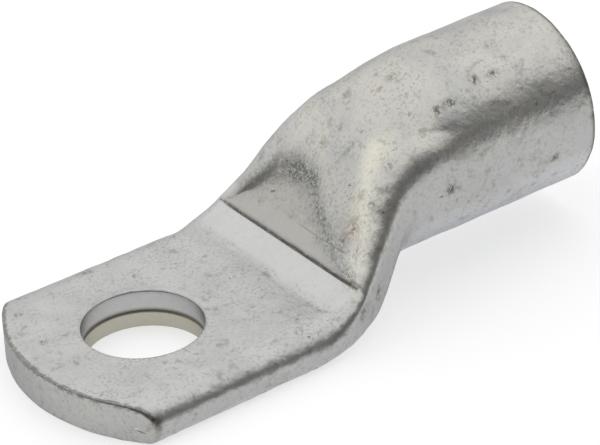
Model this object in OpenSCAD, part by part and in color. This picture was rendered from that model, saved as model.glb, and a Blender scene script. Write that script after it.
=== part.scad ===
// Tubular cable lug.
// One length of tin-plated copper tube. One end is pressed flat between dies
// into a palm of two walls with a stud hole through it, the other end stays
// round as the barrel for a stripped conductor, and the neck between them
// turns one section into the other.
//
// Frame, in millimetres: the origin is on the stud hole's axis at the palm's
// underside, +X runs to the barrel's mouth and +Z up through the palm.

/* [Tube] */

// Outside diameter of the tube, which is the barrel's
tube_d = 16.5; // [16:0.1:17]
// Wall of the tube; the palm is two walls thick
wall = 1.8; // [1.6:0.05:2]
// Stud hole's centre to the barrel's mouth
mouth_x = 42.7; // [40:0.1:48]
// Barrel's underside above the palm's underside
barrel_rise = 1.75; // [1:0.05:2.5]
// Bevel on the outer edge of the mouth
mouth_bevel_out = 0.3; // [0.1:0.05:0.5]
// Bevel on the inner edge of the mouth
mouth_bevel_in = 0.35; // [0.1:0.05:0.5]

/* [Palm] */

// Stud hole's diameter, for an M10 stud
stud_hole_d = 10.5; // [8.4:0.1:11]
// Palm's width at the tip
palm_w_tip = 23.9; // [23:0.1:24.5]
// Palm's width where the neck starts
palm_w_root = 23.3; // [22.8:0.1:24]
// Stud hole's centre to the middle of the sheared tip
tip_x = 10.9; // [9.5:0.1:13]
// Radius of the sheared tip, seen from above
tip_r = 17.2; // [15:0.1:22]
// Palm's centre line off the stud hole's axis, a making tolerance
palm_shift = 0.4; // [-0.6:0.1:0.6]
// Radius along the palm's upper side edges
edge_r_upper = 1.5; // [1:0.1:1.7]
// Radius along the palm's lower side edges
edge_r_lower = 0.75; // [0.4:0.05:1.2]
// Bevel that the shears roll over along the tip's upper edge
tip_bevel = 0.3; // [0.1:0.05:0.4]
// Gap left at the seam between the palm's two pressed walls
seam_gap = 0.12; // [0.1:0.01:0.2]

/* [Neck] */

// Where the palm's flat top ends and the die's ramp starts
ramp_x = 11.6; // [11:0.1:12.2]
// Where the ramp ends in the crease
crease_x = 15.4; // [15:0.1:16]
// Slope of the ramp at the crease, in degrees
ramp_angle = 41; // [36:1:44]
// How far the crease bows towards the barrel
crease_bow = 0.25; // [0:0.05:0.4]
// Depth of the crease
crease_depth = 0.2; // [0.1:0.02:0.3]
// How far the dome's foot stands back from the crease at the middle
foot_back = 1.9; // [1.2:0.1:2.2]
// Slope of the ledge between the crease and the dome's foot, in degrees
ledge_angle = 38; // [34:1:42]
// Slope of the dome at its foot, in degrees
dome_angle = 46.7; // [43:0.1:50]
// How strongly the dome keeps its foot's slope
dome_low_pull = 5.5; // [4.5:0.1:6.5]
// How strongly the dome keeps the barrel's line
dome_high_pull = 8.7; // [7.5:0.1:9.5]
// Where the neck's top meets the round barrel
barrel_x = 31.7; // [31:0.1:33]

/* [Hidden] */

// Joints between exact solids and the neck's computed skin
palm_end_x = 9;            // the exact palm ends and the neck starts
skin_inset = 0.01;         // the neck's ends lie this far inside their neighbours
skin_overlap = 0.5;        // and reach this far into them
cut = 1;                   // clearance for cutting tools

// Sizes that follow from the tube
tube_r = tube_d / 2;
bore_r = tube_r - wall;
palm_t = 2 * wall;
axis_z = barrel_rise + tube_r;
side_wall = 1.08 * wall;   // wall at the folded sides, which lean as they draw in
seam_level = 0.47;         // the seam's height as a share of the palm's thickness
seam_tip_x = -7.5;         // the seam is welded shut from here to the tip

// The palm's sides draw together from the tip to the neck
taper_from_x = -10;
taper_to_x = 15;
side_taper = atan((palm_w_tip - palm_w_root) / 2 / (taper_to_x - taper_from_x));
palm_fold_z = (edge_r_lower + palm_t - edge_r_upper) / 2;

// Ramp pressed by the die's rounded edge
ramp_r = (crease_x - ramp_x) / sin(ramp_angle);
crease_z = palm_t + ramp_r * (1 - cos(ramp_angle));
ledge_step = 0.1;          // the ledge starts this far above the ramp's end

// Stretches of X over which the section changes from palm to barrel
under_x = [9.3, 21.5];         // the underside rises to the barrel's
narrow_x = [12, 23.7];         // the sides draw in to the barrel's width
fold_x = [10.6, 26.3];         // the folded sides rise to the barrel's axis
upper_round_x = [17.7, 30.5];  // the flat top turns into a half circle
lower_round_x = [16.6, 22.6];  // the flat underside turns into a half circle
fold_power = 0.85;
bow_fade = 3;                  // power by which the dome's set-back dies out

// Points along a quarter section: flat, corner and side, and rings along X
flat_n = 6;
corner_n = 5;
side_n = 2;
ramp_n = 4;
dome_n = 14;
hollow_n = 10;
$fn = 96;

tin = [0.77, 0.77, 0.76];

// ---- shared shape functions ----

function limit(t) = min(max(t, 0), 1);
// Smooth step from 0 to 1
function ease(t) = let (c = limit(t)) c * c * (3 - 2 * c);
function over(x, span) = (x - span[0]) / (span[1] - span[0]);
function mix(a, b, s) = a * (1 - s) + b * s;

// Cubic curve through four control points, and its direction
function bez(p, t) = pow(1 - t, 3) * p[0] + 3 * pow(1 - t, 2) * t * p[1]
    + 3 * (1 - t) * t * t * p[2] + pow(t, 3) * p[3];
function bez_dir(p, t) = 3 * pow(1 - t, 2) * (p[1] - p[0])
    + 6 * (1 - t) * t * (p[2] - p[1]) + 3 * t * t * (p[3] - p[2]);

// Side view of the dome: [x, z] from the crease up to the barrel's top
dome_start = [crease_x, crease_z + ledge_step];
dome_end = [barrel_x, axis_z + tube_r];
dome_curve = [
    dome_start,
    dome_start + dome_low_pull * [cos(dome_angle), sin(dome_angle)],
    dome_end - [dome_high_pull, 0],
    dome_end
];

// Section sizes along the part
function palm_half_w(x) = mix(palm_w_tip, palm_w_root, over(x, [taper_from_x, taper_to_x])) / 2;
function half_w(x) = mix(palm_half_w(min(x, taper_to_x)), tube_r, ease(over(x, narrow_x)));
function under_z(x) = barrel_rise * ease(over(x, under_x));
function fold_z(x) = mix(palm_fold_z, axis_z, ease(pow(limit(over(x, fold_x)), fold_power)));
function centre_y(x) = palm_shift * (1 - ease(over(x, [narrow_x[0], barrel_x])));

// Quarter of a section from its middle to the folded side, w wide and h high:
// a flat with a corner of radius r, turned by s into a quarter ellipse.
// Each point is [y, z, share of the flat that it lies on].
function quarter(w, h, r, s) = let (
    rc = min(r, 0.8 * h, 0.8 * w),
    n = flat_n + corner_n + side_n,
    box = concat(
        [for (i = [0 : flat_n - 1]) [(w - rc) * i / flat_n, h]],
        [for (i = [0 : corner_n]) let (a = 90 * i / corner_n)
            [w - rc + rc * sin(a), h - rc + rc * cos(a)]],
        [for (i = [1 : side_n]) [w, (h - rc) * (1 - i / side_n)]]
    )
) [for (i = [0 : n]) let (a = 90 * i / n)
    [mix(box[i][0], w * sin(a), s), mix(box[i][1], h * cos(a), s), min(i / flat_n, 1)]];

// One closed ring of the skin at x. top is the section's height there, back and
// lift move the middle of the top along X and Z, and groove sinks it.
function ring(x, top, low, fold, w, r_up, r_low, back = 0, lift = 0, groove = 0) = let (
    up = quarter(w, top - fold, r_up, ease(over(x, upper_round_x))),
    down = quarter(w, fold - low, r_low, ease(over(x, lower_round_x))),
    n = len(up),
    half = concat(
        [for (p = up) let (b = 1 - p[2] * p[2], g = 1 - pow(p[2], 6))
            [x + back * b, p[0], fold + p[1] + lift * b - groove * g]],
        [for (i = [n - 2 : -1 : 0]) [x, down[i][0], fold - down[i][1]]]
    ),
    yc = centre_y(x)
) concat(
    [for (p = half) [p[0], yc + p[1], p[2]]],
    [for (i = [len(half) - 2 : -1 : 1]) let (p = half[i]) [p[0], yc - p[1], p[2]]]
);

// Closed shell between an outer and an inner list of rings along X. Every ring
// has the same number of points, and each end is closed by the band between
// the last outer and the last inner ring.
module shell(outer, inner) {
    n = len(outer[0]);
    no = len(outer);
    ni = len(inner);
    points = [for (r = concat(outer, inner)) for (p = r) p];
    faces = concat(
        skin_faces(n, 0, no, false),
        skin_faces(n, no * n, ni, true),
        band_faces(n, 0, no * n, false),
        band_faces(n, (no - 1) * n, (no + ni - 1) * n, true)
    );
    polyhedron(points, faces, convexity = 8);
}
// Triangles of a skin of count rings whose points start at first
function skin_faces(n, first, count, inward) = [
    for (i = [0 : count - 2]) for (j = [0 : n - 1])
        let (a = first + i * n + j, b = first + i * n + (j + 1) % n)
        each inward ? [[a, b + n, b], [a, a + n, b + n]] : [[a, b, b + n], [a, b + n, a + n]]
];
// Triangles of the band between two rings in one plane
function band_faces(n, outer, inner, far) = [
    for (j = [0 : n - 1]) let (k = (j + 1) % n)
        each far ? [[outer + j, outer + k, inner + k], [outer + j, inner + k, inner + j]]
            : [[outer + j, inner + k, outer + k], [outer + j, inner + j, inner + k]]
];

// ---- the neck's outer skin ----

function outer_ring(x, top, back = 0, lift = 0, groove = 0, inset = 0) =
    ring(x, top - inset, under_z(x) + inset, min(fold_z(x), top - 1), half_w(x) - inset,
        edge_r_upper, edge_r_lower, back, lift, groove);

neck_rings = concat(
    [for (x = [palm_end_x - skin_overlap, palm_end_x]) outer_ring(x, palm_t, inset = skin_inset)],
    [outer_ring((palm_end_x + ramp_x) / 2, palm_t)],
    // the ramp up to the crease
    [for (i = [0 : ramp_n]) let (
        a = (ramp_angle - 1.5) * i / ramp_n,
        x = ramp_x + ramp_r * sin(a),
        s = (x - ramp_x) / (crease_x - ramp_x))
        outer_ring(x, palm_t + ramp_r * (1 - cos(a)), back = crease_bow * s * s)],
    // the crease's bottom and the lip above it
    [outer_ring(crease_x, crease_z, back = crease_bow, groove = crease_depth)],
    [outer_ring(crease_x + 0.12, crease_z + 0.18, back = crease_bow)],
    // the dome from its foot to the barrel
    [for (i = [0 : dome_n]) let (
        t = mix(0.035, 1, pow(i / dome_n, 1.1)),
        p = bez(dome_curve, t),
        fade = pow(1 - t, bow_fade))
        outer_ring(p[0], p[1], back = foot_back * fade,
            lift = foot_back * tan(ledge_angle) * fade,
            inset = i == dome_n ? skin_inset : 0)],
    [outer_ring(barrel_x + skin_overlap, axis_z + tube_r, inset = skin_inset)]
);

// ---- the hollow inside the neck, closing into the palm's seam ----

// The dome's curve moved inwards by one wall
function inner_top(t) = let (d = bez_dir(dome_curve, t))
    bez(dome_curve, t) + wall * [d[1], -d[0]] / norm(d);

// A hollow ring never closes further than the seam's gap
function inner_ring(x, top_raw, top_outer, back = 0, lift = 0, grow = 0) = let (
    low_outer = under_z(x),
    mid = mix(low_outer, top_outer, seam_level),
    top = max(top_raw, mid + seam_gap / 2) + grow,
    low = min(low_outer + wall, mid - seam_gap / 2) - grow,
    fold = min(max(fold_z(x), mix(low, top, 0.3)), mix(low, top, 0.7)))
    ring(x, top, low, fold, half_w(x) - side_wall + grow, edge_r_upper, edge_r_upper, back, lift);

hollow_rings = concat(
    // the closed seam under the ramp
    [for (x = [palm_end_x - skin_overlap, palm_end_x])
        inner_ring(x, 0, palm_t, grow = skin_inset)],
    [inner_ring(ramp_x, 0, palm_t)],
    [for (a = [0.5, 1] * (ramp_angle - 1.5))
        inner_ring(ramp_x + ramp_r * sin(a), 0, palm_t + ramp_r * (1 - cos(a)))],
    // opening out under the dome
    [for (i = [0 : hollow_n]) let (
        t = mix(0.04, 0.97, i / hollow_n),
        p = inner_top(t),
        q = bez(dome_curve, t),
        fade = pow(1 - t, bow_fade))
        inner_ring(p[0], p[1], q[1], lift = -0.35 * foot_back * fade * ease(t * 8))],
    // and into the bore
    [for (x = [barrel_x, barrel_x + skin_overlap])
        ring(x, axis_z + bore_r + skin_inset, axis_z - bore_r - skin_inset, axis_z,
            bore_r + skin_inset, edge_r_upper, edge_r_upper)]
);

// ---- exact solids ----

// Palm's side section, upright, with its rounded edges on the line y = 0
module side_section(depth) {
    difference() {
        translate([-depth, 0]) square([depth, palm_t]);
        translate([-edge_r_upper, palm_t - edge_r_upper]) difference() {
            square(edge_r_upper + cut);
            circle(edge_r_upper);
        }
        translate([-edge_r_lower, -cut]) difference() {
            square([edge_r_lower + cut, edge_r_lower + cut]);
            translate([0, edge_r_lower + cut]) circle(edge_r_lower);
        }
    }
}

// Half of the palm along its +Y side
module palm_half() {
    from_x = -tip_x - 2;
    translate([0, palm_half_w(0), 0]) rotate([0, 0, -side_taper])
        translate([from_x, 0, 0]) rotate([90, 0, 90])
            linear_extrude(palm_end_x + 2 - from_x) side_section(palm_w_tip / 2 + 1);
}

module palm() {
    difference() {
        intersection() {
            translate([0, palm_shift, 0]) {
                palm_half();
                mirror([0, 1, 0]) palm_half();
            }
            // the sheared tip, with its upper edge rolled over
            translate([tip_r - tip_x, 0, 0]) rotate_extrude()
                polygon([[0, -cut], [tip_r, -cut], [tip_r, palm_t - tip_bevel],
                    [tip_r - tip_bevel, palm_t], [tip_r - tip_bevel - cut, palm_t + cut],
                    [0, palm_t + cut]]);
        }
        translate([palm_end_x, -palm_w_tip, -cut])
            cube([tip_r * 2, palm_w_tip * 2, palm_t + 2 * cut]);
        seam();
        translate([0, 0, -cut]) cylinder(d = stud_hole_d, h = palm_t + 2 * cut);
    }
}

// The line between the two pressed walls, open to the stud hole and the neck
module seam() {
    w = palm_half_w(palm_end_x) - side_wall;
    translate([seam_tip_x, palm_shift - w, seam_level * palm_t - seam_gap / 2])
        cube([palm_end_x + cut - seam_tip_x, 2 * w, seam_gap]);
}

// The round barrel with its bore, both edges of the mouth bevelled
module barrel() {
    long = mouth_x - barrel_x;
    translate([barrel_x, 0, axis_z]) rotate([0, 90, 0]) rotate_extrude()
        polygon([[bore_r, 0], [tube_r, 0], [tube_r, long - mouth_bevel_out],
            [tube_r - mouth_bevel_out, long], [bore_r + mouth_bevel_in, long],
            [bore_r, long - mouth_bevel_in]]);
}

module lug() color(tin) {
    palm();
    shell(neck_rings, hollow_rings);
    barrel();
}

lug();
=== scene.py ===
import bmesh
import bpy
import numpy as np
from mathutils import Matrix, Vector


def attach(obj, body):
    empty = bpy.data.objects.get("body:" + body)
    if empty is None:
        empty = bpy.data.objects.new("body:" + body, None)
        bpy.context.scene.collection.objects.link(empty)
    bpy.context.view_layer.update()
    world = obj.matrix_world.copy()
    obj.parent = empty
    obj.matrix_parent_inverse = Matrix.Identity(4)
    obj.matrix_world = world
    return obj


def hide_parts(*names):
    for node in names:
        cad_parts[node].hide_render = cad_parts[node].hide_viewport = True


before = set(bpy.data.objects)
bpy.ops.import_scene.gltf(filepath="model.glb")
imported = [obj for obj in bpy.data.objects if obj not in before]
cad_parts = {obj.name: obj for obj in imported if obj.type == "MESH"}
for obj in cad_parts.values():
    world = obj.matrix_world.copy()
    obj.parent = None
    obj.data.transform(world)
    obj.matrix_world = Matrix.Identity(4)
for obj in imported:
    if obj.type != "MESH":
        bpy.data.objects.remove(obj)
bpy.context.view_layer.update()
scene = bpy.context.scene

# A tubular cable lug, tin-plated: one end of a tube pressed flat into a palm with a
# stud hole, the other end left round and open. The shape functions work in
# millimetres in the frame's own axes: the origin on the stud hole's axis at the
# palm's underside, +X to the barrel's mouth, +Z up. Meshes are written in metres.
MM = 0.001

# ---------------------------------------------------------------- sizes of the lug

WALL = 1.8
TUBE_R = 8.25                       # barrel outside
BORE_R = TUBE_R - WALL
RISE = 1.75                         # the barrel's underside above the palm's
AXIS_Z = RISE + TUBE_R
BARREL_TOP = AXIS_Z + TUBE_R
BARREL_X, MOUTH_X = 31.7, 42.7      # where the barrel starts and ends
MOUTH_OUT, MOUTH_IN = 0.3, 0.35     # rounding of the mouth's edges

PALM_T = 2 * WALL
PALM_END = 9.0                      # where the palm's outline ends and the neck's sections start
W_TIP, W_ROOT = 23.9, 23.3          # palm's width at x = -10 and x = 15
SHIFT = 0.4                         # palm's centre line off the stud hole
R_UP, R_LOW = 2.2, 0.9              # long edges' upper and lower radius
EDGE_WIDE = 1.25                    # the upper edge's stretch across
CORNER_MOST = 0.95                  # a corner's radius at most, as a share of its height
HOLLOW_R = 1.5                      # the hollow's lower corners
FOLD_PALM = (R_LOW + PALM_T - R_UP) / 2     # height of the palm's folded sides
TIP_X, TIP_R = 10.9, 17.2           # sheared tip: distance and radius
TIP_C = TIP_R - TIP_X               # the tip arc's centre along X
HOLE_R, HOLE_EDGE = 5.25, 0.14      # stud hole and its rolled edge
SEAM_Z = 0.47 * PALM_T              # where the tube's two walls meet

RAMP_X, CREASE_X = 11.6, 15.4       # flange's upward curve, crease in front of the dome
RAMP_A = np.radians(41)
RAMP_R = (CREASE_X - RAMP_X) / np.sin(RAMP_A)
CREASE_Z = PALM_T + RAMP_R * (1 - np.cos(RAMP_A))
FACET_X = 12.75                     # where the die's flat face starts up the ramp
LEDGE_L, LEDGE_A = 1.75, np.radians(43)     # ledge between crease and dome: length, slope
LEDGE_X, LEDGE_Z = LEDGE_L * np.cos(LEDGE_A), LEDGE_L * np.sin(LEDGE_A)
DOME_A = np.radians(46.7)           # the dome's slope at its foot
FOLD_TOP_X, FOLD_TOP_Y = 19.0, 3.0  # where the two folds at the dome's foot meet
FOLD_DEPTH = 0.6
DOME_CURVE = np.array([
    [CREASE_X, CREASE_Z + 0.1],
    [CREASE_X + 5.5 * np.cos(DOME_A), CREASE_Z + 0.1 + 5.5 * np.sin(DOME_A)],
    [BARREL_X - 8.7, BARREL_TOP],
    [BARREL_X, BARREL_TOP],
])

# kinds of surface, kept on the points so that relief, wear and painted light know where they are
SKIN, CUT, ROLL, HOLE, BORE = 0, 1, 2, 3, 4

# points across half a flat, round a corner, up a side
FLAT_N, CORNER_N, SIDE_N = 36, 14, 4
QUARTER_N = FLAT_N + CORNER_N + SIDE_N
RING_N = 4 * QUARTER_N


# ---------------------------------------------------------------- shape of the lug

def ease(t):
    """Smooth step: three t squared less two t cubed, held at 0 and 1."""
    c = np.clip(t, 0, 1)
    return c * c * (3 - 2 * c)


def mix(a, b, s):
    """a at s = 0, b at s = 1, in a straight line."""
    return a * (1 - s) + b * s


def bell(t):
    """A bump of height 1 at t = 0: e to the minus t squared."""
    return np.exp(-t * t)


def half_width(x):
    """Half the part's width: the palm's straight taper, eased into the tube's radius."""
    palm = mix(W_TIP, W_ROOT, (np.minimum(x, 15) + 10) / 25) / 2
    return mix(palm, TUBE_R, ease((x - 12) / 11.7))


def under_height(x):
    """The underside: flat under the palm, eased up to the barrel's."""
    return RISE * ease((x - 9.3) / 12.2)


def fold_height(x):
    """Height of the folded sides: from half way up the palm's edge, eased up to the barrel's
    axis."""
    t = np.clip((x - 10.6) / 15.7, 0, 1) ** 0.85
    return mix(FOLD_PALM, AXIS_Z, ease(t))


def centre_line(x):
    """Sideways place of the section's middle: the palm's shift, eased away to the barrel."""
    return SHIFT * (1 - ease((x - 12) / (BARREL_X - 12)))


def dome(t):
    """Side view of the dome: a cubic Bezier curve with the control points DOME_CURVE, as x
    and z, and its unit direction."""
    t = np.asarray(t, float)[:, None]
    c = DOME_CURVE
    p = (1 - t) ** 3 * c[0] + 3 * (1 - t) ** 2 * t * c[1] + 3 * (1 - t) * t * t * c[2] + t ** 3 * c[3]
    d = (1 - t) ** 2 * (c[1] - c[0]) + 2 * (1 - t) * t * (c[2] - c[1]) + t * t * (c[3] - c[2])
    return p, d / np.linalg.norm(d, axis=1)[:, None]


def near_corner(x):
    """The near side's upper corner: its radius, its stretch across, and its share of a
    quarter of an ellipse. It is rounder in the neck than the far side's."""
    radius = R_UP + 1.0 * ease((x - 13) / 5) + 0.9 * ease((x - 20) / 6)
    return radius, mix(EDGE_WIDE, 1.0, ease((x - 12) / 5)), ease((x - 19.5) / 11)


def quarter(w, h, r, s, wide=1.0):
    """Quarter sections, one row each, from the middle to the folded side: a flat at
    height h, a corner of radius r stretched across by wide, and an upright side at width
    w, blended by s into a quarter of an ellipse. Returns across, up, and the share of the
    flat passed."""
    rows = np.shape(w)
    w, h, r, s, wide = (np.broadcast_to(v, rows)[:, None] for v in (w, h, r, s, wide))
    r = np.minimum(r, CORNER_MOST * h)
    reach = wide * r
    u = np.arange(FLAT_N)[None] / FLAT_N
    a = np.linspace(0, np.pi / 2, CORNER_N + 1)[None]
    k = np.arange(1, SIDE_N + 1)[None] / SIDE_N
    across = np.concatenate([(w - reach) * u, w - reach + reach * np.sin(a), w + 0 * k], 1)
    up = np.concatenate([h + 0 * u, h - r + r * np.cos(a), (h - r) * (1 - k)], 1)
    e = np.linspace(0, np.pi / 2, QUARTER_N + 1)[None]
    share = np.minimum(np.arange(QUARTER_N + 1) / FLAT_N, 1)[None] + 0 * w
    return mix(across, w * np.sin(e), s), mix(up, h * np.cos(e), s), share


def half_rings(x, top, low, fold, w, corner, r_low, foot, groove, press):
    """One half of each ring, from the top's middle by the fold to the bottom's middle. foot
    moves the top's middle back along the ledge, over a width that ends in round corners;
    groove cuts the crease; press sinks the flat that the die touches."""
    r_up, wide, s_up = corner
    ya, za, share = quarter(w, top - fold, r_up, s_up, wide)
    yb, zb, _ = quarter(w, fold - low, r_low, ease((x - 16.6) / 6.0))
    strip = 1 - ease((share - 0.78) / 0.22)
    xa = x[:, None] + foot * LEDGE_X * strip
    za = fold[:, None] + za + foot * LEDGE_Z * strip
    za = za - groove * (1 - share ** 14) - press * (1 - ease((share - 0.9) / 0.1))
    xb = np.repeat(x[:, None], QUARTER_N, 1)
    yb, zb = yb[:, -2::-1], fold[:, None] - zb[:, -2::-1]
    return np.stack([np.concatenate(pair, 1) for pair in ((xa, xb), (ya, yb), (za, zb))], -1)


def rings(x, top, low, fold, w, r_low=R_LOW, foot=0.0, groove=0.0, press=0.0):
    """Closed rings of skin, one for each x, from a far and a near half."""
    x, top, low, fold, w = (np.atleast_1d(np.asarray(v, float)) for v in (x, top, low, fold, w))
    foot, groove, press = (np.broadcast_to(v, x.shape)[:, None] for v in (foot, groove, press))
    far_corner = R_UP, EDGE_WIDE, ease((x - 17.7) / 12.8)
    far_half = half_rings(x, top, low, fold, w, far_corner, r_low, foot, groove, press)
    near_half = half_rings(x, top, low, fold, w, near_corner(x), r_low, foot, groove, press)
    ring = np.concatenate([far_half, near_half[:, -2:0:-1] * [1, -1, 1]], 1)
    ring[..., 1] += centre_line(x)[:, None]
    return ring


def skin_rings(x, top, **more):
    """Rings of the outer skin whose top's middle is at the given heights."""
    x, top = np.atleast_1d(x).astype(float), np.atleast_1d(top).astype(float)
    fold = np.minimum(fold_height(x), top - 1)
    return rings(x, top, under_height(x), fold, half_width(x), **more)


def fold_lines(y):
    """Where along X the dome's two folds lie: from the crease's ends, straight on the near
    side and bowed on the far side, up to a common top off the middle."""
    near = np.clip((FOLD_TOP_Y - y) / (FOLD_TOP_Y + 9.3), 0, 1)
    far = np.clip((y - FOLD_TOP_Y) / (10.2 - FOLD_TOP_Y), 0, 1) ** 2.2
    return mix(FOLD_TOP_X, CREASE_X, near + far)


def dome_folds(ring):
    """Sinks the two folds into the dome's foot: a bell across each fold, wide on the facet
    that the die left between them and narrow on the outer side."""
    x, y = ring[..., 0], ring[..., 1]
    away = x - fold_lines(y)
    column = np.arange(RING_N)
    share = np.minimum(np.minimum(column, RING_N - column) / FLAT_N, 1)
    depth = FOLD_DEPTH * mix(1.0, 0.35, ease((y - 3) / 7)) * bell(away / np.where(away < 0, 1.7, 0.9))
    ring[..., 2] -= depth * ease((x - CREASE_X - 0.6) / 1.5) * (1 - ease((share - 0.6) / 0.4))
    return ring


def neck_rings():
    """The outer skin from the palm's end over ramp, crease, ledge and dome, and along the
    barrel to its mouth."""
    x = np.linspace(PALM_END, RAMP_X, 14)[:-1]
    parts = [skin_rings(x, PALM_T + 0 * x)]
    # ramp: the flange rises on an arc, the die's face lies flat and then straight up to the crease
    a = np.linspace(0, RAMP_A - np.radians(1.5), 34)
    x = RAMP_X + RAMP_R * np.sin(a)
    arc = PALM_T + RAMP_R * (1 - np.cos(a))
    slope = (CREASE_Z - PALM_T) / (CREASE_X - FACET_X)
    facet = PALM_T + slope * 0.5 * (x - FACET_X + np.hypot(x - FACET_X, 0.22))
    parts.append(skin_rings(x, arc, press=np.maximum(arc - facet, 0)))
    # crease: a narrow groove under a rounded lip
    depth = np.array([0.08, 0.20, 0.28, 0.28, 0.20, 0.08, 0.02])
    step = np.linspace(0, 1, 7)
    x = CREASE_X + mix(-0.06, 0.16, step)
    parts.append(skin_rings(x, CREASE_Z + mix(-0.02, 0.18, step), groove=depth))
    # ledge: straight from the lip to the dome's foot at the middle
    t0 = 0.03
    foot0 = (1 - t0) ** 3
    p0, _ = dome([t0])
    k = np.linspace(0.1, 0.9, 9)
    parts.append(skin_rings(mix(x[-1], p0[0, 0], k), mix(CREASE_Z + 0.18, p0[0, 1], k), foot=foot0 * k))
    t = t0 + (1 - t0) * np.linspace(0, 1, 126) ** 1.1
    p, _ = dome(t)
    parts.append(dome_folds(skin_rings(p[:, 0], p[:, 1], foot=(1 - t) ** 3)))
    x = np.linspace(BARREL_X, MOUTH_X - MOUTH_OUT, 62)[1:]
    parts.append(skin_rings(x, BARREL_TOP + 0 * x))
    return np.concatenate(parts)


def circles(x, r):
    """Rings round the barrel's axis, one for each pair of x and radius."""
    turn = np.arange(RING_N) / RING_N * 2 * np.pi
    y, z = r[:, None] * np.sin(turn), AXIS_Z + r[:, None] * np.cos(turn)
    return np.stack([np.repeat(x[:, None], RING_N, 1), y, z], -1)


def mouth_rings():
    """The rounded outer edge and the cut face of the barrel's mouth."""
    a = np.linspace(0, np.pi / 2, 6)[1:]
    x = np.concatenate([MOUTH_X - MOUTH_OUT + MOUTH_OUT * np.sin(a), np.full(4, MOUTH_X)])
    r = np.concatenate([TUBE_R - MOUTH_OUT + MOUTH_OUT * np.cos(a),
                        np.linspace(TUBE_R - MOUTH_OUT, BORE_R + MOUTH_IN, 5)[1:]])
    return circles(x, r)


def bore_rings():
    """The mouth's rounded inner edge and the bore."""
    a = np.linspace(0, np.pi / 2, 6)[1:]
    x = np.concatenate([MOUTH_X - MOUTH_IN + MOUTH_IN * np.cos(a), np.linspace(MOUTH_X - 1, BARREL_X, 16)])
    r = np.concatenate([BORE_R + MOUTH_IN - MOUTH_IN * np.sin(a), np.full(16, BORE_R)])
    return circles(x, r)


def hollow_rings():
    """The hollow from the bore inwards, one wall inside the outer skin, closing to a slit
    under the ramp."""
    t = np.linspace(0.97, 0.04, 30)
    p, d = dome(t)
    inner = p + WALL * np.stack([d[:, 1], -d[:, 0]], 1)
    x, raw, outer = inner[:, 0], inner[:, 1], p[:, 1]
    low_out = under_height(x)
    middle = mix(low_out, outer, 0.47)
    top = np.maximum(raw - FOLD_DEPTH * bell((t - 0.2) / 0.15), middle + 0.06)
    low = np.minimum(low_out + WALL, middle - 0.06)
    fold = np.clip(fold_height(x), mix(low, top, 0.3), mix(low, top, 0.7))
    return rings(x, top, low, fold, half_width(x) - 1.08 * WALL, r_low=HOLLOW_R)


def palm_section():
    """The palm's section at its end, as the neck's first ring has it: the ring itself, each
    point's distance in from the palm's side, its share of the flat, and its inward normal."""
    ring = skin_rings(PALM_END, PALM_T)[0]
    y, z = ring[:, 1] - SHIFT, ring[:, 2]
    w = half_width(PALM_END)
    on_top, on_low = np.abs(z - PALM_T) < 1e-9, np.abs(z) < 1e-9
    inset = np.where(on_top, EDGE_WIDE * R_UP, np.where(on_low, R_LOW, w - np.abs(y)))
    share = np.where(on_top | on_low, np.abs(y) / (w - inset), 1.0)
    along = np.roll(ring[:, 1:], -1, 0) - np.roll(ring[:, 1:], 1, 0)
    normal = np.stack([along[:, 1], -along[:, 0]], -1) / np.linalg.norm(along, axis=1)[:, None]
    to_middle = np.array([SHIFT, PALM_T / 2]) - ring[:, 1:]
    normal *= np.sign((normal * to_middle).sum(1, keepdims=True))
    return ring, inset, share, normal


def palm_line(x, ring, inset, share):
    """Points of the section carried along the palm to x: each keeps its height and its
    distance in from the side, or its share of the flat, as the width tapers."""
    y = SHIFT + np.sign(ring[:, 1] - SHIFT) * share * (half_width(x) - inset)
    return np.stack([x, y, np.broadcast_to(ring[:, 2], np.shape(x))], -1)


def tip_x(y, radius=TIP_R):
    """The tip's arc: x on a circle of the given radius about TIP_C."""
    return TIP_C - np.sqrt(radius ** 2 - y ** 2)


def tip_roll(ring, inset, share, normal):
    """The rolled edge between the palm's skin and the sheared face: the line on the skin,
    the line on the face, and the roll's size, larger above than below. A skin point's x
    comes from the arc at its y, and its y from the taper at its x, so both are repeated."""
    size = mix(0.14, 0.30, ease(ring[:, 2] / PALM_T))
    x = np.full(len(ring), -6.0)
    for _ in range(12):
        skin = palm_line(x, ring, inset, share)
        x = tip_x(skin[:, 1], TIP_R - size)
    skin = palm_line(x, ring, inset, share)
    face = skin.copy()
    face[:, 1:] += size[:, None] * normal
    face[:, 0] = tip_x(face[:, 1])
    return skin, face, size


def cap(line):
    """Closes a ring: straight lines from it to a spine half way between its upper and lower
    points, drawn in from both ends so that no line runs along the ring."""
    mirror = line[(RING_N // 2 - np.arange(RING_N)) % RING_N]
    spine = (line + mirror) / 2
    middle = spine[:, 1].mean()
    half = np.abs(spine[:, 1] - middle).max()
    thick = np.ptp(line[:, 2])
    spine[:, 1] = middle + (spine[:, 1] - middle) * (1 - 0.4 * thick / half)
    return mix(line[None], spine[None], np.linspace(0, 1, 7)[:, None, None])


def seam_height(turn):
    """Height of the seam round the stud hole: higher on one side, where the upper wall was
    pressed further, with a smooth change between."""
    return SEAM_Z + 0.07 * np.sin(turn - 1.9)


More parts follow.
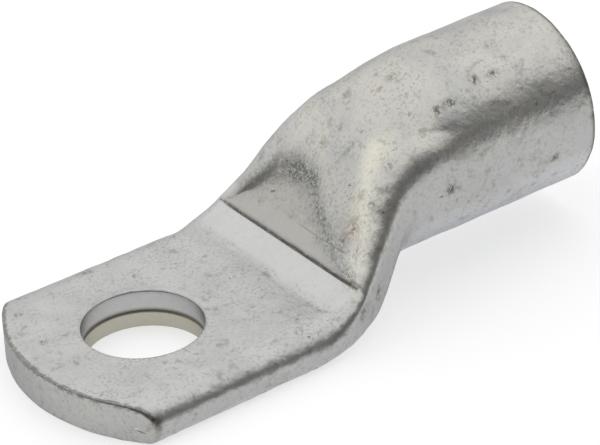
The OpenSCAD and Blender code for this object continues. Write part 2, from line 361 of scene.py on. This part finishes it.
def hole_wall(turn, seam_turn, z, sign):
    """Half of the stud hole's wall, from the flat at height z to the seam: a rolled edge, the
    wall, and half of the seam's notch. The angles run from the flat's own to the seam's."""
    a = np.linspace(0, np.pi / 2, 6)
    seam = seam_height(seam_turn)[None]
    notch = [HOLE_R + 0.03, HOLE_R + 0.10]
    r = np.concatenate([HOLE_R + HOLE_EDGE * (1 - np.sin(a)), np.full(5, HOLE_R), notch])
    down = np.concatenate([np.zeros(6), np.linspace(0, 1, 6)[1:], [1, 1]])[:, None]
    edge = z - sign * np.concatenate([HOLE_EDGE * (1 - np.cos(a)), np.full(7, HOLE_EDGE)])[:, None]
    height = mix(edge, seam + sign * 0.035, down)
    height[-2], height[-1] = seam[0] + sign * 0.02, seam[0]
    angle = mix(turn[None], seam_turn[None], down)
    return np.stack([r[:, None] * np.cos(angle), r[:, None] * np.sin(angle), height], -1)


def lug_grids():
    """Every grid of the lug's skin, as (points, closed, kind). Neighbours share border points."""
    ring, inset, share, normal = palm_section()
    skin, face, size = tip_roll(ring, inset, share, normal)
    grids = []

    def side(columns):
        """The palm's long edge: lines from the palm's end to the tip."""
        x = mix(PALM_END, skin[columns, 0][None], np.linspace(0, 1, 56)[:, None])
        return palm_line(x, ring[columns], inset[columns], share[columns])

    q = QUARTER_N
    grids += [(side(np.arange(FLAT_N, 2 * q - FLAT_N + 1)), False, SKIN),
              (side(np.arange(2 * q + FLAT_N, RING_N - FLAT_N + 1)), False, SKIN)]
    # flats: straight lines from the stud hole's rim out to the flat's own border, which runs
    # the same way round above and below
    turns = []
    for top in (True, False):
        across = np.arange(-FLAT_N, FLAT_N + 1)
        across = across % RING_N if top else 2 * q - across
        first, last = side(across[:1])[:, 0], side(across[-1:])[:, 0]
        loop = np.concatenate([ring[across], last[1:], skin[across][::-1][1:], first[::-1][1:-1]])
        turn = np.unwrap(np.arctan2(loop[:, 1], loop[:, 0]))
        rim = (HOLE_R + HOLE_EDGE) * np.stack([np.cos(turn), np.sin(turn)], -1)
        rim = np.concatenate([rim, loop[:, 2:]], 1)
        grids.append((mix(rim[None], loop[None], np.linspace(0, 1, 37)[:, None, None]), True, SKIN))
        turns.append(turn)
    grids += [(hole_wall(turns[0], turns[0], PALM_T, 1), True, HOLE),
              (hole_wall(turns[1], turns[0], 0.0, -1), True, HOLE)]
    # the rolled edge round the tip, and the sheared face
    a = np.linspace(0, np.pi / 2, 6)[:, None]
    roll = np.stack([mix(skin[None, :, 0], face[None, :, 0], np.sin(a)),
                     skin[None, :, 1] + size * normal[:, 0] * (1 - np.cos(a)),
                     skin[None, :, 2] + size * normal[:, 1] * (1 - np.cos(a))], -1)
    sheared = cap(face)
    sheared[..., 0] = tip_x(sheared[..., 1])
    grids += [(roll, True, ROLL), (sheared, True, CUT)]
    neck, mouth, bore, hollow = neck_rings(), mouth_rings(), bore_rings(), hollow_rings()
    grids += [(neck, True, SKIN), (np.concatenate([neck[-1:], mouth]), True, CUT),
              (np.concatenate([mouth[-1:], bore, hollow]), True, BORE), (cap(hollow[-1]), True, BORE)]
    return grids


def grid_faces(rows, columns, first, closed):
    """Two triangles for each cell of a grid of points; closed joins the last column to the
    first."""
    i, j = np.meshgrid(np.arange(rows - 1), np.arange(columns if closed else columns - 1), indexing="ij")
    k = (j + 1) % columns
    a, b, c, d = (first + r * columns + s for r, s in ((i, j), (i, k), (i + 1, k), (i + 1, j)))
    halves = [np.stack(corners, -1).reshape(-1, 3) for corners in ((a, b, c), (a, c, d))]
    return np.concatenate(halves)


def make_mesh(name, grids, smooth=True):
    """One mesh object from grids of points in millimetres. Points that coincide become one,
    triangles that lose a corner go, and the faces of the closed skin turn outwards."""
    points, kinds, faces, first = [], [], [], 0
    for grid, closed, kind in grids:
        rows, columns = grid.shape[:2]
        points.append(grid.reshape(-1, 3))
        kinds.append(np.full(rows * columns, kind, np.int32))
        faces.append(grid_faces(rows, columns, first, closed))
        first += rows * columns
    points, faces = np.concatenate(points), np.concatenate(faces).astype(np.int32)
    me = bpy.data.meshes.new(name)
    me.vertices.add(len(points))
    me.vertices.foreach_set("co", (points * MM).ravel())
    me.loops.add(faces.size)
    me.loops.foreach_set("vertex_index", faces.ravel())
    me.polygons.add(len(faces))
    me.polygons.foreach_set("loop_start", np.arange(0, faces.size, 3, dtype=np.int32))
    me.polygons.foreach_set("use_smooth", np.full(len(faces), smooth))
    me.attributes.new("kind", "INT", "POINT").data.foreach_set("value", np.concatenate(kinds))
    me.update(calc_edges=True)
    bm = bmesh.new()
    bm.from_mesh(me)
    bmesh.ops.remove_doubles(bm, verts=bm.verts, dist=2e-4 * MM)
    bmesh.ops.recalc_face_normals(bm, faces=bm.faces)
    open_edges = sum(len(e.link_faces) != 2 for e in bm.edges)
    print(name, "-", len(bm.verts), "points,", len(bm.faces), "faces,", open_edges, "open edges,",
          round(bm.calc_volume(signed=True) / MM ** 3, 1), "cubic mm")
    bm.to_mesh(me)
    bm.free()
    ob = bpy.data.objects.new(name, me)
    scene.collection.objects.link(ob)
    return ob


# ---------------------------------------------------------------- relief, wear and painted light and shade of the lug

def field(points, size, seed, count=36):
    """A smooth random field of unit spread whose swells are about size apart: a sum of
    plane cosine waves with random directions, lengths near size and random phases."""
    rng = np.random.default_rng(seed)
    heading = rng.normal(size=(count, 3))
    heading /= np.linalg.norm(heading, axis=1)[:, None]
    wave = heading * (2 * np.pi / (size * rng.uniform(0.8, 1.7, count)))[:, None]
    return np.cos(points @ wave.T + rng.uniform(0, 2 * np.pi, count)).sum(1) * np.sqrt(2 / count)


def spot(points, centre, size):
    """A round patch about centre: a bell of the distance over size, which may differ along
    each axis."""
    away = (points - np.array(centre)) / np.array(size)
    return np.exp(-(away ** 2).sum(1))


def trail(points, stations, size):
    """A patch along a polyline: the bell of the distance to its nearest finely spaced point."""
    stations = np.array(stations, float)
    u = np.linspace(0, len(stations) - 1, 10 * len(stations))
    line = np.stack([np.interp(u, np.arange(len(stations)), stations[:, k]) for k in range(3)], -1)
    nearest = np.full(len(points), np.inf)
    for centre in line:
        nearest = np.minimum(nearest, ((points - centre) ** 2).sum(1))
    return np.exp(-nearest / size ** 2)


PITS = 150                          # small pits scattered over the skin
# dents: place, radius and depth
DENTS = [
    ((-7.1, 8.3, 3.6), 0.28, 0.10), ((-7.9, 3.2, 3.6), 0.30, 0.10), ((-8.2, 4.4, 3.6), 0.22, 0.05),
    ((15.4, -10.7, 3.4), 0.34, 0.14), ((15.1, -10.8, 2.9), 0.26, 0.10), ((17.6, -9.8, 3.7), 0.30, 0.12),
    ((32.3, -4.7, 16.8), 0.35, 0.06), ((34.4, -4.8, 16.7), 0.30, 0.06), ((36.2, -4.2, 17.1), 0.32, 0.05),
    ((27.8, -5.4, 15.9), 0.36, 0.06), ((29.3, -5.4, 16.0), 0.30, 0.06), ((26.7, -8.2, 9.7), 0.36, 0.07),
    ((38.1, -8.1, 8.4), 0.30, 0.06), ((35.8, -2.4, 17.9), 0.45, 0.04), ((27.1, 0.2, 17.3), 0.40, 0.05),
]
# blots of old dirt: place, radius and how dark
BLOTS = np.array([
    (28.8, -5.2, 16.1, 0.40, 0.9), (29.2, -5.3, 16.0, 0.30, 0.9), (27.9, -5.3, 15.8, 0.35, 0.7),
    (32.5, -4.5, 16.9, 0.38, 0.8), (34.1, -3.5, 17.4, 0.30, 0.7), (33.9, -4.7, 16.7, 0.30, 0.7),
    (34.4, -4.7, 16.6, 0.28, 0.9), (36.2, -3.9, 17.2, 0.35, 0.6), (35.9, -2.2, 17.9, 0.50, 0.5),
    (36.8, -5.0, 16.5, 0.40, 0.5), (32.8, -6.4, 15.1, 0.35, 0.6), (37.8, -6.8, 14.6, 0.30, 0.5),
    (42.4, -8.1, 10.9, 0.35, 0.9), (30.3, -8.1, 11.7, 0.35, 0.6), (26.8, -8.1, 9.9, 0.40, 0.9),
    (26.9, -8.1, 9.4, 0.30, 0.7), (34.9, -7.3, 6.1, 0.40, 0.6), (38.4, -8.0, 8.3, 0.30, 0.9),
    (37.2, -8.0, 8.2, 0.45, 0.5), (38.7, -7.2, 6.0, 0.35, 0.6), (36.1, -8.2, 9.3, 0.35, 0.5),
    (33.4, -7.5, 6.6, 0.35, 0.6), (31.4, -8.0, 11.8, 0.35, 0.5), (30.6, -8.2, 9.9, 0.30, 0.5),
    (24.4, 3.0, 15.4, 0.38, 0.6), (23.9, 2.3, 15.1, 0.42, 0.8), (22.1, 2.4, 13.5, 0.35, 0.6),
    (22.2, 1.0, 13.6, 0.38, 0.6), (27.0, 0.0, 17.2, 0.50, 0.8), (27.1, -1.0, 17.2, 0.38, 0.6),
    (21.3, -1.3, 12.6, 0.55, 0.6), (21.0, 1.9, 12.2, 0.50, 0.4), (21.1, 3.4, 12.3, 0.40, 0.4),
    (19.6, -5.1, 10.4, 0.35, 0.8), (19.6, -6.7, 10.4, 0.35, 0.7), (22.0, -6.0, 13.0, 0.50, 0.8),
    (16.7, 5.9, 6.3, 0.35, 0.7), (16.9, 1.9, 6.4, 0.30, 0.5), (17.3, 0.0, 6.6, 0.35, 0.5),
    (16.7, -2.3, 6.3, 0.50, 0.6), (17.4, -5.0, 7.0, 0.40, 0.9), (17.4, -9.8, 4.0, 0.40, 0.9),
    (19.8, 8.5, 10.4, 0.35, 0.5), (18.6, 8.2, 9.1, 0.40, 0.5), (-5.1, 5.4, 3.6, 0.25, 0.5),
    (-5.5, 8.0, 3.6, 0.25, 0.5), (-5.1, 10.2, 3.6, 0.30, 0.4), (0.8, 10.3, 3.6, 0.50, 0.7),
    (1.3, 10.0, 3.6, 0.35, 0.6), (5.4, -1.7, 3.6, 0.30, 0.5), (6.0, -2.1, 3.6, 0.30, 0.6),
    (-4.3, -6.6, 3.6, 0.25, 0.5), (-8.6, 5.5, 3.6, 0.45, 0.5), (-7.9, 0.8, 3.6, 0.40, 0.4),
])
# a shallow smear on the barrel's top
SMEAR = [(31.2, -0.9, 18.2), (33.6, -1.8, 18.0), (36.3, -2.8, 17.8)]
# a painted highlight along the neck's crest on the near side
CREST_HIGHLIGHT = [(22.4, -3.7, 13.3), (21.0, -4.4, 11.8), (19.8, -5.5, 10.5), (18.6, -6.3, 8.9),
         (17.6, -7.3, 7.3), (16.2, -8.7, 5.4)]
# the two folds at the dome's foot, along which dirt and painted shade lie
FAR_FOLD = [(16.9, 8.4, 6.7), (18.0, 7.1, 8.2), (18.7, 5.5, 9.0), (19.1, 3.4, 9.5)]
NEAR_FOLD = [(19.2, 1.3, 9.6), (18.7, 0.6, 8.8), (18.0, -0.7, 7.7), (17.3, -2.7, 6.7),
             (16.8, -4.3, 6.3), (16.2, -6.6, 5.8), (15.6, -8.8, 5.3)]


def die_face(points, normals):
    """1 where the die's polished face touched, the ramp and the ledge, and 0 elsewhere, with
    a soft border."""
    x, y, z = points.T
    across = 1 - ease((np.abs(y - SHIFT) - 9.6) / 0.5)
    along = ease((x - FACET_X - 0.1) / 0.5) * (1 - ease((x - 16.4) / 0.6))
    facing = ease((normals[:, 2] - 0.3) / 0.2)
    return across * along * facing


def long_edge(points):
    """1 along the palm's rounded upper edge and its side, with a soft border."""
    x, y, z = points.T
    inset = half_width(x) - np.abs(y - SHIFT)
    return (1 - ease((inset - 0.9) / 0.9)) * (1 - ease((x - 15) / 3))


def relief(points, normals, kind):
    """How far each point moves along its normal, in millimetres: inwards for long and short
    swells, scattered small pits and the chosen dents, outwards only for the burr on the
    stud hole's rim. The bore, the hollow and the hole's wall stay true."""
    x, y, z = points.T
    rough = np.where(kind >= HOLE, 0.0, 1 - 0.85 * die_face(points, normals))
    swell = 0.5 * np.tanh(field(points, 2.6, 11)) + 0.5
    ripple = 0.5 * np.tanh(field(points * [1.15, 0.9, 0.9], 1.0, 12)) + 0.5
    lumps = 0.5 * np.tanh(field(points, 1.3, 13)) + 0.5
    move = -rough * (0.036 * swell + 0.010 * ripple + 0.03 * lumps * long_edge(points))
    rng = np.random.default_rng(21)
    for k in rng.choice(len(points), PITS, replace=False):
        move -= rough * rng.uniform(0.01, 0.045) * spot(points, points[k], rng.uniform(0.18, 0.42))
    for centre, radius, depth in DENTS:
        move -= rough * depth * spot(points, centre, radius)
    move -= 0.05 * trail(points, SMEAR, 0.5)
    on_flat = (z > PALM_T - 0.01) & (normals[:, 2] > 0.5)
    around = np.arctan2(y, x)
    burr = bell((np.hypot(x, y) - HOLE_R - 0.32) / 0.22) * bell((around - 1.0) / 0.75)
    return move + on_flat * burr * (0.06 + 0.04 * np.sin(17 * around) * np.sin(7.3 * around))


def wear_and_painted_light(points, normals, kind):
    """The attributes that the plating reads, each from 0 to 1: marks on the tin, and painted light and
    shade.
    """
    x, y, z = points.T
    up = normals[:, 2]
    skin = 1.0 * (kind < HOLE)
    # dirt and painted shade where the dome's folds meet, and thinner along both folds
    patch = spot(points, (19.1, 3.2, 9.5), (1.0, 2.0, 1.2)) + 0.5 * trail(points, FAR_FOLD, 0.9)
    valley = trail(points, NEAR_FOLD, 0.8)
    # dark lines: painted shade and dirt in the crease, a dark line on the tip's rolled edge and a dark
    # spot at its near corner, a dark line on the mouth's outer edge
    crease = bell((x - CREASE_X - 0.05) / 0.11) * bell((z - CREASE_Z - 0.05) / 0.3)
    crease = crease * (np.abs(y - SHIFT) < 10.0)
    tip_edge = (kind == ROLL) * mix(0.3, 0.7, ease((z - 1.2) / 1.6))
    corner = spot(points, (-6.4, -11.3, 2.6), (0.5, 0.45, 1.0))
    mouth = bell((x - MOUTH_X + 0.2) / 0.2) * (np.hypot(y, z - AXIS_Z) > TUBE_R - 0.25)
    stain = spot(points, (18.2, -5.6, 8.2), (0.6, 0.8, 0.9)) + 0.5 * spot(points, (17.6, -5.2, 7.5), 0.8)
    blots = sum(tone * spot(points, (bx, by, bz), radius) for bx, by, bz, radius, tone in BLOTS)
    # painted shade on the facet that the die left between the folds, and a painted darker reflection of
    # the barrel's dark band near the mouth
    facet = ease((fold_lines(y) - x + 0.6) / 1.2) * ease((x - CREASE_X) / 0.3)
    facet = facet * (np.abs(y - SHIFT) < 9.8)
    rim = ease((x - MOUTH_X + 1.2) / 1.1) * bell((np.arctan2(-y, z - AXIS_Z) - 0.9) / 0.5)
    pits = sum(spot(points, centre, 1.1 * radius) for centre, radius, depth in DENTS if depth > 0.05)
    # painted highlight along the neck's near crest
    crest_highlight = trail(points, CREST_HIGHLIGHT, 1.1)
    # warmer tone: the upper faces of neck and barrel, the painted crest highlight, and the cut face
    warm = 0.45 * ease((x - 16) / 3) * ease((up + 0.2) / 0.6) + crest_highlight + 0.5 * (kind == CUT)
    flank = bell((up - 0.05) / 0.42)
    over_seam = z - seam_height(np.arctan2(y, x))
    return {
        "patch_dirt_and_shade": np.clip(patch, 0, 1) * skin,
        "valley": np.clip(valley, 0, 1) * skin,
        "blots": np.clip(blots, 0, 1) * skin,
        "film_and_painted_shade": np.clip(facet + rim, 0, 1) * skin,
        "die": die_face(points, normals) * skin,
        "line": np.clip(crease + tip_edge + corner + mouth, 0, 1),
        "crest_highlight": crest_highlight * skin,
        "stain": np.clip(stain, 0, 1),
        "pits": np.clip(pits, 0, 1),
        "warm": np.clip(warm, 0, 1) * skin,
        "flank": flank * skin,
        # painted light: the underside lighter than the rest of the skin
        "under": ease((-0.2 - up) / 0.5) * skin,
        "wall": 1.0 * (kind == HOLE),
        "lower_wall": (kind == HOLE) * ease(-over_seam / 0.1),
        "seam": (kind == HOLE) * bell(over_seam / 0.07),
    }


def finish_surface(ob):
    """Moves the skin by its relief and stores its marks and its painted light and shade on its points."""
    me = ob.data
    count = len(me.vertices)
    points, normals, kind = np.empty(3 * count), np.empty(3 * count), np.empty(count, np.int32)
    me.vertices.foreach_get("co", points)
    me.vertex_normals.foreach_get("vector", normals)
    me.attributes["kind"].data.foreach_get("value", kind)
    points, normals = points.reshape(-1, 3) / MM, normals.reshape(-1, 3)
    moved = points + relief(points, normals, kind)[:, None] * normals
    me.vertices.foreach_set("co", (moved * MM).ravel())
    me.update()
    for name, values in wear_and_painted_light(points, normals, kind).items():
        me.attributes.new(name, "FLOAT", "POINT").data.foreach_set("value", values.astype(np.float32))


# ---------------------------------------------------------------- materials

class Nodes:
    """A node tree, with short calls that add a node and return its output."""

    def __init__(self, tree):
        self.tree = tree

    def put(self, socket, value):
        """Links an output, or sets a plain value, on a socket."""
        if isinstance(value, bpy.types.NodeSocket):
            self.tree.links.new(value, socket)
        else:
            socket.default_value = value

    def math(self, operation, a, b=0.0, clamp=False):
        node = self.tree.nodes.new("ShaderNodeMath")
        node.operation, node.use_clamp = operation, clamp
        self.put(node.inputs[0], a)
        self.put(node.inputs[1], b)
        return node.outputs[0]

    def mul(self, a, b):
        return self.math("MULTIPLY", a, b)

    def add(self, a, b, clamp=False):
        return self.math("ADD", a, b, clamp)

    def attribute(self, name):
        node = self.tree.nodes.new("ShaderNodeAttribute")
        node.attribute_name = name
        return node.outputs["Fac"]

    def place(self, stretch=(1, 1, 1)):
        """Object coordinates in millimetres, squeezed by stretch."""
        where = self.tree.nodes.new("ShaderNodeTexCoord").outputs["Object"]
        node = self.tree.nodes.new("ShaderNodeMapping")
        node.inputs["Scale"].default_value = [s / MM for s in stretch]
        self.tree.links.new(where, node.inputs["Vector"])
        return node.outputs["Vector"]

    def noise(self, where, per_mm, detail=2.0, roughness=0.5, distortion=0.0):
        node = self.tree.nodes.new("ShaderNodeTexNoise")
        self.tree.links.new(where, node.inputs["Vector"])
        settings = {"Scale": per_mm, "Detail": detail, "Roughness": roughness, "Distortion": distortion}
        for key, value in settings.items():
            node.inputs[key].default_value = value
        return node.outputs["Fac"]

    def between(self, value, low, high, to_low=0.0, to_high=1.0):
        """Smooth step of value from low to high, scaled to to_low .. to_high."""
        node = self.tree.nodes.new("ShaderNodeMapRange")
        node.interpolation_type = "SMOOTHSTEP"
        settings = {"From Min": low, "From Max": high, "To Min": to_low, "To Max": to_high}
        for key, bound in settings.items():
            node.inputs[key].default_value = bound
        self.tree.links.new(value, node.inputs["Value"])
        return node.outputs["Result"]

    def blend(self, factor, a, b):
        """Colour a at factor 0, b at factor 1."""
        node = self.tree.nodes.new("ShaderNodeMix")
        node.data_type = "RGBA"
        for socket, value in ((0, factor), (6, a), (7, b)):
            self.put(node.inputs[socket], value)
        return node.outputs[2]

    def bump(self, height, depth_mm):
        """Bump by a height of 0 to 1 that stands for depth_mm."""
        node = self.tree.nodes.new("ShaderNodeBump")
        node.inputs["Distance"].default_value = depth_mm * MM
        self.tree.links.new(height, node.inputs["Height"])
        return node.outputs["Normal"]


def new_material(name):
    """A new material, its nodes and the sockets of its Principled shader."""
    material = bpy.data.materials.new(name)
    material.use_nodes = True
    return material, Nodes(material.node_tree), material.node_tree.nodes["Principled BSDF"].inputs


def tin_plating():
    """Satin tin: pale metal with an orange-peel grain, darker in its pores, greyer on the
    flanks and painted lighter underneath, warmer on the upper faces of neck and barrel, on
    the cut face and on a painted highlight along the near crest, smooth where the die
    touched, with grime and painted shade in the folds and the crease, painted shade on the
    facet between the folds, a painted darker reflection near the mouth, dark lines on the
    tip's and the mouth's edges, brown stains, smudges and dark dents."""
    material, n, shader = new_material("tin_plate")
    even, across = n.place(), n.place((1.15, 0.9, 0.9))
    die, patch_dirt_and_shade, valley, wall = (n.attribute(name) for name in ("die", "patch_dirt_and_shade", "valley", "wall"))
    smooth = n.math("MAXIMUM", n.mul(die, 0.8), wall)
    open_skin = n.math("SUBTRACT", 1.0, smooth)
    grain = n.noise(even, 3.6, 3.0, 0.62)
    peel = n.noise(across, 1.7, 2.0, 0.5)
    blotch = n.noise(even, 0.28, 4.0, 0.6)
    cluster = n.noise(even, 0.45, 2.0, 0.5)
    specks = n.noise(across, 2.6, 2.0, 0.7, 0.6)
    smudge = n.noise(even, 0.95, 3.0, 0.62)

    # warmer tone on the upper faces of neck and barrel, on the cut face, and on the painted highlight
    # along the near crest
    colour = n.blend(n.attribute("warm"), (0.615, 0.615, 0.600, 1), (0.690, 0.660, 0.560, 1))
    colour = n.blend(n.between(blotch, 0.35, 0.70), colour, (0.55, 0.548, 0.535, 1))
    colour = n.blend(n.mul(n.attribute("flank"), 0.75), colour, (0.42, 0.425, 0.425, 1))
    # painted light: the underside lighter
    colour = n.blend(n.attribute("under"), colour, (0.74, 0.75, 0.77, 1))
    colour = n.blend(n.mul(die, 0.7), colour, (0.66, 0.665, 0.66, 1))
    # painted shade on the dome's facet and a painted darker reflection near the mouth
    colour = n.blend(n.mul(n.attribute("film_and_painted_shade"), 0.7), colour, (0.42, 0.41, 0.375, 1))
    # painted highlight: the near crest lighter and warmer
    colour = n.blend(n.mul(n.attribute("crest_highlight"), 0.8), colour, (0.80, 0.78, 0.69, 1))
    colour = n.blend(wall, colour, (0.50, 0.505, 0.505, 1))
    colour = n.blend(n.attribute("lower_wall"), colour, (0.50, 0.488, 0.41, 1))
    crowd = n.between(cluster, 0.30, 0.65, 0.15, 0.55)
    pores = n.mul(n.between(grain, 0.48, 0.70), n.mul(open_skin, crowd))
    colour = n.blend(pores, colour, (0.30, 0.295, 0.275, 1))
    # smudges: a dark film on the open skin
    film_and_painted_shade = n.mul(n.between(smudge, 0.56, 0.74), n.mul(open_skin, 0.55))
    colour = n.blend(film_and_painted_shade, colour, (0.28, 0.262, 0.215, 1))
    gathered = n.mul(n.between(specks, 0.64, 0.74), n.between(cluster, 0.48, 0.62))
    colour = n.blend(n.mul(gathered, n.mul(open_skin, 0.85)), colour, (0.13, 0.12, 0.10, 1))
    blot = n.mul(n.attribute("blots"), n.between(specks, 0.38, 0.56))
    colour = n.blend(n.mul(blot, 0.8), colour, (0.15, 0.135, 0.095, 1))
    # dirt and painted shade in the folds: broken up by a worming pattern in which bare metal shows
    worms = n.between(n.math("ABSOLUTE", n.add(n.noise(even, 2.2, 2.0, 0.6), -0.5)), 0.0, 0.07)
    streak = n.mul(valley, n.between(specks, 0.36, 0.60, 0.35, 0.9))
    fold_dirt_and_shade = n.mul(n.add(patch_dirt_and_shade, streak, True), n.add(worms, 0.15, True))
    colour = n.blend(n.mul(fold_dirt_and_shade, 0.70), colour, (0.14, 0.142, 0.140, 1))
    stain = n.mul(n.attribute("stain"), n.between(specks, 0.35, 0.60))
    colour = n.blend(n.mul(stain, 0.7), colour, (0.24, 0.16, 0.11, 1))
    # dark lines: painted shade and dirt in the crease, dark lines on the tip's and the mouth's edges
    line = n.mul(n.attribute("line"), n.add(n.between(specks, 0.30, 0.55), 0.35, True))
    colour = n.blend(n.mul(line, 0.85), colour, (0.10, 0.088, 0.065, 1))
    colour = n.blend(n.mul(n.attribute("seam"), 0.8), colour, (0.16, 0.13, 0.07, 1))
    pit = n.mul(n.attribute("pits"), n.between(specks, 0.38, 0.56))
    colour = n.blend(n.mul(pit, 0.9), colour, (0.05, 0.045, 0.04, 1))
    n.put(shader["Base Color"], colour)
    shader["Metallic"].default_value = 1.0
    shader["Specular Tint"].default_value = (0.6, 0.6, 0.62, 1)
    gloss = n.add(n.mul(n.between(grain, 0.3, 0.7), 0.10), n.mul(fold_dirt_and_shade, 0.2))
    n.put(shader["Roughness"], n.add(gloss, 0.30))
    height = n.mul(n.add(n.mul(grain, 0.5), peel), n.add(open_skin, n.mul(patch_dirt_and_shade, 2.0)))
    n.put(shader["Normal"], n.bump(height, 0.034))
    return material


def floor_paper():
    """Matt white paper."""
    material, n, shader = new_material("floor_paper")
    shader["Base Color"].default_value = (0.55, 0.55, 0.55, 1)
    shader["Roughness"].default_value = 0.9
    shader["Specular IOR Level"].default_value = 0.1
    shader["Emission Color"].default_value = (1, 1, 1, 1)
    rays = n.tree.nodes.new("ShaderNodeLightPath").outputs
    through = n.math("MAXIMUM", rays["Is Glossy Ray"], rays["Is Transmission Ray"])
    seen = n.math("MAXIMUM", rays["Is Camera Ray"], through)
    n.put(shader["Emission Strength"], n.mul(seen, 0.57))
    return material


# ---------------------------------------------------------------- the piece

lug = make_mesh("lug_body", lug_grids())
finish_surface(lug)
lug.data.materials.append(tin_plating())
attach(lug, "root")
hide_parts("lug")

# ---------------------------------------------------------------- floor, light, camera

FLOOR = 3000.0
corners = np.array([[[-FLOOR, -FLOOR, 0], [FLOOR, -FLOOR, 0]], [[-FLOOR, FLOOR, 0], [FLOOR, FLOOR, 0]]])
floor = make_mesh("floor", [(corners, False, SKIN)], smooth=False)
floor.data.materials.append(floor_paper())

world = bpy.data.worlds.new("studio")
scene.world = world
world.use_nodes = True
sky = Nodes(world.node_tree)
ray = sky.tree.nodes.new("ShaderNodeTexCoord").outputs["Generated"]


def toward(direction, low, high):
    """How far a ray points along direction, as a smooth step from low to high."""
    dot = sky.tree.nodes.new("ShaderNodeVectorMath")
    dot.operation = "DOT_PRODUCT"
    dot.inputs[1].default_value = np.array(direction) / np.linalg.norm(direction)
    sky.tree.links.new(ray, dot.inputs[0])
    return sky.between(dot.outputs["Value"], low, high)


# a pale tent over the far side, and a dim room below and on the near side
TENT_AIM, TENT_LEVEL, ROOM_LEVEL = (0.30, 0.60, 0.74), 0.84, 0.14
tent = toward(TENT_AIM, 0.06, 0.38)
level = sky.add(sky.mul(tent, TENT_LEVEL), ROOM_LEVEL)
sky.put(sky.tree.nodes["Background"].inputs["Strength"], level)
sky.tree.nodes["Background"].inputs["Color"].default_value = (1, 1, 1, 1)

lamp = bpy.data.lights.new("overhead_softbox", "AREA")
lamp.shape, lamp.size, lamp.energy = "DISK", 0.8, 0.6
softbox = bpy.data.objects.new("overhead_softbox", lamp)
scene.collection.objects.link(softbox)
softbox.location = (0.1, 0.1, 0.8)
softbox.visible_glossy = False

AIM = np.array([14.5805, -2.9868, 9.0])
DISTANCE = 363.24
HEADING, TILT, ROLL = np.radians([55.778, 31.019, -3.872])
SENSOR, LENS = 36, 258.184
forward = np.array([np.cos(TILT) * np.cos(HEADING), np.cos(TILT) * np.sin(HEADING), -np.sin(TILT)])
level_right = np.array([np.sin(HEADING), -np.cos(HEADING), 0.0])
level_up = np.cross(level_right, forward)
right = np.cos(ROLL) * level_right + np.sin(ROLL) * level_up
up = np.cross(right, forward)
lens = bpy.data.cameras.new("camera")
lens.sensor_width, lens.lens = SENSOR, LENS
lens.clip_start, lens.clip_end = 0.01, 20
camera = bpy.data.objects.new("camera", lens)
scene.collection.objects.link(camera)
turn = Matrix([list(v) for v in zip(right, up, -forward)]).to_4x4()
camera.matrix_world = Matrix.Translation(Vector((AIM - DISTANCE * forward) * MM)) @ turn
scene.camera = camera

scene.view_settings.view_transform = "Standard"
